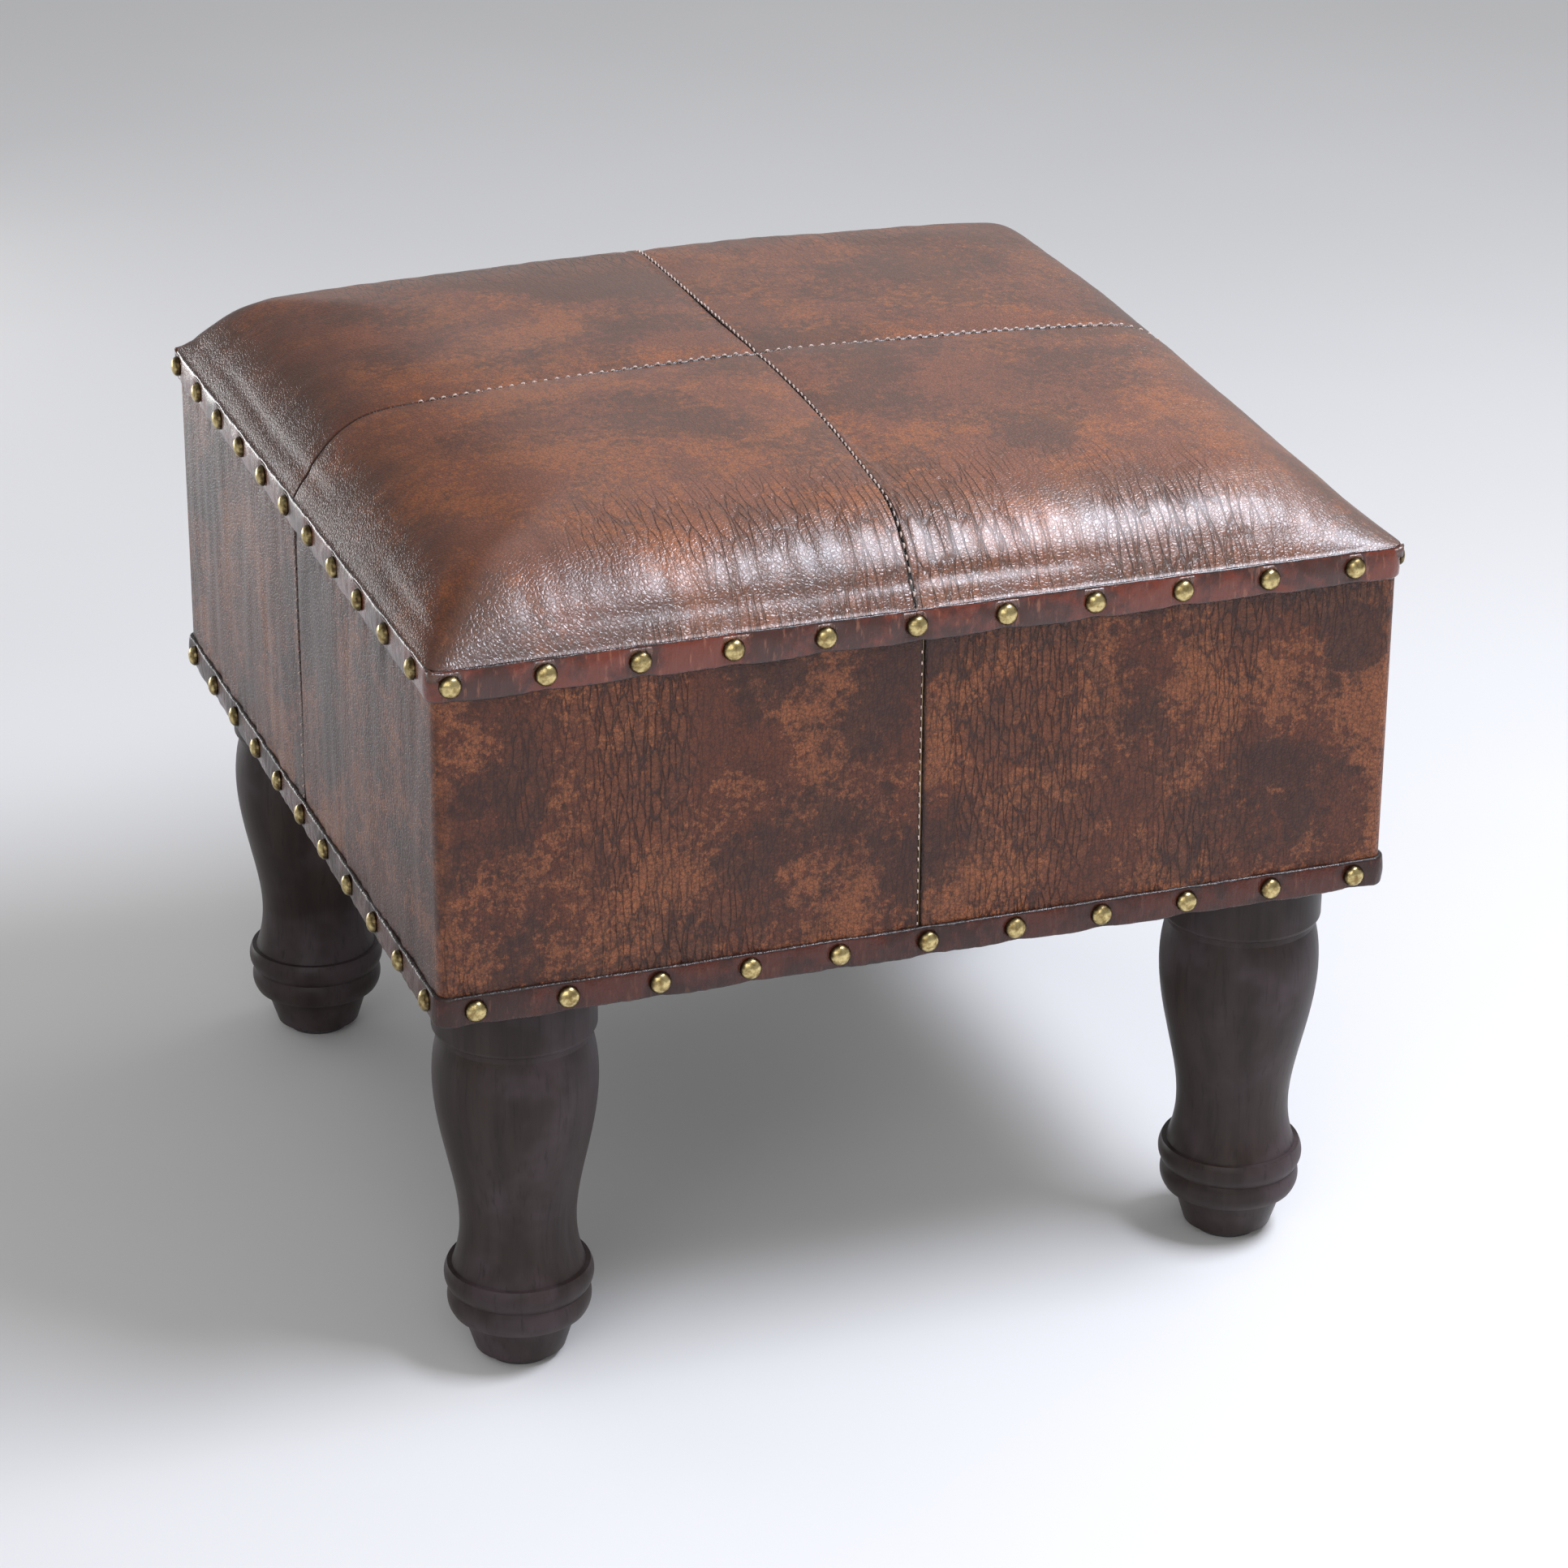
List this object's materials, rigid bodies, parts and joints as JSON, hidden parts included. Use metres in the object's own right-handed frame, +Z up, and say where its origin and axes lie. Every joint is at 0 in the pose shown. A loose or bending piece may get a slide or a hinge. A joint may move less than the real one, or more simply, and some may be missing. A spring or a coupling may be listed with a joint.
{
  "type": "upholstered footstool",
  "caption": "Square footstool with a crowned cross-seamed leather seat, leather sides with nailed trim bands and turned wooden legs.",
  "frame": {"origin": "on the floor, under the middle of the stool", "axes": "+Z up, -Y out of the front face, +X to the right seen from the front"},
  "size_m": [0.3098, 0.3098, 0.2712],
  "materials": {
    "seat_leather": "distressed reddish brown leather, semi-gloss",
    "side_leather": "distressed reddish brown leather, semi-gloss",
    "band_leather": "darker, smoother brown leather strip",
    "leg_wood": "dark stained turned wood, satin",
    "frame_wood": "bare softwood",
    "deck_wood": "bare plywood",
    "antique_brass": "antique brass nail heads",
    "zinc_steel": "zinc plated",
    "seat_foam": "upholstery foam",
    "seat_wadding": "polyester wadding",
    "dust_cloth": "black non-woven cloth",
    "glide_plastic": "brown nail-on glide"
  },
  "bodies": {
    "root": {"seat_cover_front_left": "seat_leather", "side_cover_front_left": "side_leather", "corner_block_front_left": "frame_wood", "leg_front_left": "leg_wood", "hanger_bolt_front_left": "zinc_steel", "leg_nut_front_left": "zinc_steel", "glide_front_left": "glide_plastic", "seat_cover_front_right": "seat_leather", "side_cover_front_right": "side_leather", "corner_block_front_right": "frame_wood", "leg_front_right": "leg_wood", "hanger_bolt_front_right": "zinc_steel", "leg_nut_front_right": "zinc_steel", "glide_front_right": "glide_plastic", "seat_cover_back_right": "seat_leather", "side_cover_back_right": "side_leather", "corner_block_back_right": "frame_wood", "leg_back_right": "leg_wood", "hanger_bolt_back_right": "zinc_steel", "leg_nut_back_right": "zinc_steel", "glide_back_right": "glide_plastic", "seat_cover_back_left": "seat_leather", "side_cover_back_left": "side_leather", "corner_block_back_left": "frame_wood", "leg_back_left": "leg_wood", "hanger_bolt_back_left": "zinc_steel", "leg_nut_back_left": "zinc_steel", "glide_back_left": "glide_plastic", "rail_front": "frame_wood", "upper_nails_front": "antique_brass", "lower_nails_front": "antique_brass", "rail_right": "frame_wood", "upper_nails_right": "antique_brass", "lower_nails_right": "antique_brass", "rail_back": "frame_wood", "upper_nails_back": "antique_brass", "lower_nails_back": "antique_brass", "rail_left": "frame_wood", "upper_nails_left": "antique_brass", "lower_nails_left": "antique_brass", "foam_pad": "seat_foam", "wadding_layer": "seat_wadding", "deck_board": "deck_wood", "upper_band": "band_leather", "lower_band": "band_leather", "dust_cover": "dust_cloth", "dust_cover_staples": "zinc_steel", "corner_block_screws": "zinc_steel", "deck_screws": "zinc_steel"}
  },
  "joints": []
}
